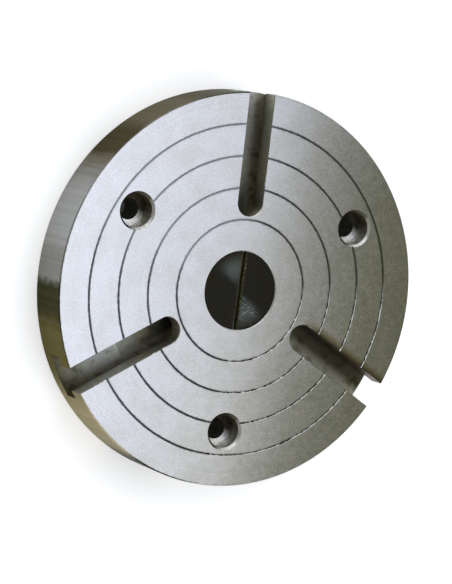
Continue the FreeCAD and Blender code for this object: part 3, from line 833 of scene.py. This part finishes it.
bore = add_node(cutting, "GeometryNodeObjectInfo", {"Object": given["Bore Cutter"]}).outputs["Geometry"]
slots = set_out(cutting, given["Slot Cutter"], given["Slot Count"], given["Slot Turn"], 0.0)
spacing = (given["Hole Count"], given["Hole Turn"], given["Bolt Circle Radius"])
holes = set_out(cutting, given["Hole Cutter"], *spacing)

# The ring lines' paths are one ring of radius 1, copied at each line's radius and lifted to the face.
number = add_node(cutting, "GeometryNodeInputIndex")
reach = {0: number, 1: given["Ring Spacing"], 2: given["First Ring Radius"]}
reach = add_node(cutting, "ShaderNodeMath", reach, operation="MULTIPLY_ADD")
points = add_node(cutting, "GeometryNodePoints", {"Count": given["Ring Count"]})
unit_ring = add_node(cutting, "GeometryNodeCurvePrimitiveCircle", {"Resolution": ROUND_STEPS, "Radius": 1.0})
copying = {"Points": points, "Instance": unit_ring, "Scale": reach}
paths = add_node(cutting, "GeometryNodeInstanceOnPoints", copying)
paths = add_node(cutting, "GeometryNodeRealizeInstances", {"Geometry": paths})
raised = add_node(cutting, "ShaderNodeCombineXYZ", {"Z": given["Face Height"]})
paths = add_node(cutting, "GeometryNodeSetPosition", {"Geometry": paths, "Offset": raised})

# The tool's point is a triangle, standing on its tip at the depth of the line. Its sides cross the
# face two thirds of the way up, so its width there is the line's.
tool_point = add_node(cutting, "GeometryNodeCurvePrimitiveCircle", {"Resolution": 3, "Radius": 1.0})
to_corners = {0: given["Line Width"], 1: math.sqrt(3) / 2}
wide = add_node(cutting, "ShaderNodeMath", to_corners, operation="MULTIPLY")
size = add_node(cutting, "ShaderNodeCombineXYZ", {"X": given["Line Depth"], "Y": wide, "Z": 1.0})
on_its_tip = {"Geometry": tool_point, "Scale": size, "Rotation": (0, 0, math.pi / 2)}
tool_point = add_node(cutting, "GeometryNodeTransform", on_its_tip)
lines = add_node(cutting, "GeometryNodeCurveToMesh", {"Curve": paths, "Profile Curve": tool_point})
lines = add_node(cutting, "GeometryNodeSetMaterial", {"Geometry": lines, "Material": given["Line Finish"]})

plate = given["Blank"]
removal = {"operation": "DIFFERENCE", "solver": "MANIFOLD"}
for cutter in (bore, lines, slots, holes):
    plate = add_node(cutting, "GeometryNodeMeshBoolean", {0: plate, 1: cutter}, **removal)
steep = {0: add_node(cutting, "GeometryNodeInputMeshEdgeAngle"), 1: math.radians(SMOOTH_UNDER_DEGREES)}
gentle = add_node(cutting, "FunctionNodeCompare", steep, operation="LESS_THAN")
for shaded, smooth in (("FACE", True), ("EDGE", gentle)):
    smoothing = {"Geometry": plate, "Shade Smooth": smooth}
    plate = add_node(cutting, "GeometryNodeSetShadeSmooth", smoothing, domain=shaded)
plate = add_node(cutting, "GeometryNodeRealizeInstances", {"Geometry": plate})

# The working face and the back are the faces furthest from the middle of the plate's thickness.
position = add_node(cutting, "GeometryNodeInputPosition")
height = add_node(cutting, "ShaderNodeSeparateXYZ", {0: position}).outputs["Z"]
middle = add_node(cutting, "ShaderNodeMath", {0: given["Face Height"], 1: 2.0}, operation="DIVIDE")
off_middle = add_node(cutting, "ShaderNodeMath", {0: height, 1: middle}, operation="SUBTRACT")
off_middle = add_node(cutting, "ShaderNodeMath", {0: off_middle}, operation="ABSOLUTE")
short = add_node(cutting, "ShaderNodeMath", {0: middle, 1: off_middle}, operation="SUBTRACT")
on_face = add_node(cutting, "FunctionNodeCompare", {0: short, 1: FACE_TOLERANCE * MM}, operation="LESS_THAN")
facing = {"Geometry": plate, "Selection": on_face, "Material": given["Face Finish"]}
plate = add_node(cutting, "GeometryNodeSetMaterial", facing)
add_node(cutting, "NodeGroupOutput", {"Plate": plate})


def baked_piece(source, tree, values, name):
    """The plain mesh that a tree makes of an object, as a new object at the origin."""
    bpy.context.scene.collection.objects.link(source)
    modifier = source.modifiers.new(tree.name, "NODES")
    modifier.node_group = tree
    sockets = {item.name: item.identifier for item in tree.interface.items_tree if item.in_out == "INPUT"}
    for socket_name, _, value in values:
        modifier[sockets[socket_name]] = value
    bpy.context.view_layer.update()
    evaluated = source.evaluated_get(bpy.context.evaluated_depsgraph_get())
    mesh = bpy.data.meshes.new_from_object(evaluated)
    source.modifiers.remove(modifier)
    mesh.name = name
    piece = bpy.data.objects.new(name, mesh)
    bpy.context.scene.collection.objects.link(piece)
    bpy.data.objects.remove(source)
    return piece


finished_plate = baked_piece(blank, cutting, CUT_INPUTS, "finished_plate")
for cutter in (bore_cutter, slot_cutter, hole_cutter):
    bpy.data.objects.remove(cutter)
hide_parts("backplate")
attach(finished_plate, "root")


# The plug is a turned steel disc pressed into the mouth of the bore and blackened. A fine saw cut crosses it.
# Two fans beside the cut are painted lighter, a painted sheen, and fine scratches show in the lower one.
blackened_steel, tree = new_material("blackened_turned_steel")
# Real turning marks are about 0.2 mm apart. They are drawn coarser, to show.
PLUG_PITCH_MM = 0.7
PLUG_BLOT_MM = 8.0
PLUG_FACE = 26.5
BELOW_FACE_MM = 0.02
SAW_CUT_DEGREES = 88.65
SAW_CUT_EDGE_MM = 1.5
SAW_CUT_TOP = 26.0
SAW_CUT_FADE_MM = 1.4
CHIP_MM = 1.2
SHEEN_FAN_DEGREES = 114.0
SHEEN_FAN_SHARPNESS = 3.0
# How far from the axis a painted sheen fan begins and is full, outwards and then inwards.
SHEEN_FAN_REACHES = ((1.0, 11.5), (20.5, 11.5))
SCRATCH_MM = 0.6
SCRATCH_DEGREES = 20.0
SCRATCH_STRETCH = (5.0, 1.0, 1.0)
at = polar_place(tree)
patchy = {"Vector": at["place"], "Scale": 1 / PLUG_BLOT_MM, "Detail": 4.0}
blots = add_node(tree, "ShaderNodeTexNoise", patchy)
black = add_node(tree, "ShaderNodeValToRGB", {0: blots}, stops=[(0.35, "#2c271d"), (0.65, "#282a25")])

# The painted sheen fans are opposite each other, so twice the turn from one of them serves both.
apart = add_node(tree, "ShaderNodeMath", {0: at["degrees"], 1: SHEEN_FAN_DEGREES}, operation="SUBTRACT")
apart = add_node(tree, "ShaderNodeMath", {0: apart, 1: math.radians(2)}, operation="MULTIPLY")
apart = add_node(tree, "ShaderNodeMath", {0: apart}, operation="COSINE")
sheen_fan = add_node(tree, "ShaderNodeMapRange", {"Value": apart}, **SOFT_ENDS)
sheen_fan = add_node(tree, "ShaderNodeMath", {0: sheen_fan, 1: SHEEN_FAN_SHARPNESS}, operation="POWER")
for begins, full in SHEEN_FAN_REACHES:
    fade = {"Value": at["radius"], "From Min": begins, "From Max": full}
    fade = add_node(tree, "ShaderNodeMapRange", fade, **SOFT_ENDS)
    sheen_fan = add_node(tree, "ShaderNodeMath", {0: sheen_fan, 1: fade}, operation="MULTIPLY")
worn_and_sheen = add_node(tree, "ShaderNodeMix", {0: sheen_fan, 6: black, 7: hex_colour("#545b55")}, **BLEND)

# Bright scratches run across the lower sheen fan.
slant = {"Vector": at["place"], "Rotation": (0, 0, math.radians(SCRATCH_DEGREES)), "Scale": SCRATCH_STRETCH}
slant = add_node(tree, "ShaderNodeMapping", slant, vector_type="TEXTURE")
scratches = add_node(tree, "ShaderNodeTexNoise", {"Vector": slant, "Scale": 1 / SCRATCH_MM, "Detail": 3.0})
scratches = add_node(tree, "ShaderNodeMapRange", {"Value": scratches, "From Min": 0.58, "From Max": 0.72})
lower = add_node(tree, "ShaderNodeMath", {0: at["degrees"], 1: 0.0}, operation="LESS_THAN")
for share in (sheen_fan, lower):
    scratches = add_node(tree, "ShaderNodeMath", {0: scratches, 1: share}, operation="MULTIPLY")
worn_and_sheen = add_node(tree, "ShaderNodeMix", {0: scratches, 6: worn_and_sheen, 7: hex_colour("#c4c6c0")}, **BLEND)

# Along the saw cut the black has chipped off its edges here and there, its left wall is bare, and its
# bottom is brown.
aside = reach_towards(tree, at["flat"], SAW_CUT_DEGREES - 90)
beside = add_node(tree, "ShaderNodeMath", {0: aside}, operation="ABSOLUTE")
edge = add_node(tree, "ShaderNodeMath", {0: beside, 1: SAW_CUT_EDGE_MM}, operation="LESS_THAN")
nicks = add_node(tree, "ShaderNodeTexNoise", {"Vector": at["place"], "Scale": 1 / CHIP_MM, "Detail": 3.0})
chip_stops = [(0.3, "#2f2d22"), (0.55, "#4a4736"), (0.66, "#6e6b58"), (0.72, "#b4b2a4")]
chipped = add_node(tree, "ShaderNodeValToRGB", {0: nicks}, stops=chip_stops)
worn_and_sheen = add_node(tree, "ShaderNodeMix", {0: edge, 6: worn_and_sheen, 7: chipped}, **BLEND)
bare = add_node(tree, "ShaderNodeMath", {0: aside, 1: 0.0}, operation="LESS_THAN")
below_face = {0: at["height"], 1: PLUG_FACE - BELOW_FACE_MM}
below_face = add_node(tree, "ShaderNodeMath", below_face, operation="LESS_THAN")
for share in (below_face, edge):
    bare = add_node(tree, "ShaderNodeMath", {0: bare, 1: share}, operation="MULTIPLY")
worn_and_sheen = add_node(tree, "ShaderNodeMix", {0: bare, 6: worn_and_sheen, 7: hex_colour("#a8a48a")}, **BLEND)
sunk = add_node(tree, "ShaderNodeMath", {0: at["height"], 1: SAW_CUT_TOP}, operation="LESS_THAN")
sunk = add_node(tree, "ShaderNodeMath", {0: sunk, 1: edge}, operation="MULTIPLY")
rise = {"Value": at["height"], "From Min": SAW_CUT_TOP - SAW_CUT_FADE_MM, "From Max": SAW_CUT_TOP}
rise = add_node(tree, "ShaderNodeMapRange", rise)
cut_brown = add_node(tree, "ShaderNodeValToRGB", {0: rise}, stops=[(0.0, "#6b6650"), (1.0, "#b0aa8c")])
worn_and_sheen = add_node(tree, "ShaderNodeMix", {0: sunk, 6: worn_and_sheen, 7: cut_brown}, **BLEND)
marks = add_node(tree, "ShaderNodeTexNoise", {"W": at["radius"], "Scale": 1 / PLUG_PITCH_MM}, **LAYERED)
rough = add_node(tree, "ShaderNodeMapRange", {"Value": marks, "To Min": 0.28, "To Max": 0.42})
finish_metal(tree, {"Base Color": worn_and_sheen, "Roughness": rough, "Anisotropic": 0.7, "Tangent": at["flat"]})

plug = frame["nodes"]["centre_plug"]
plug.data.materials.clear()
plug.data.materials.append(blackened_steel)
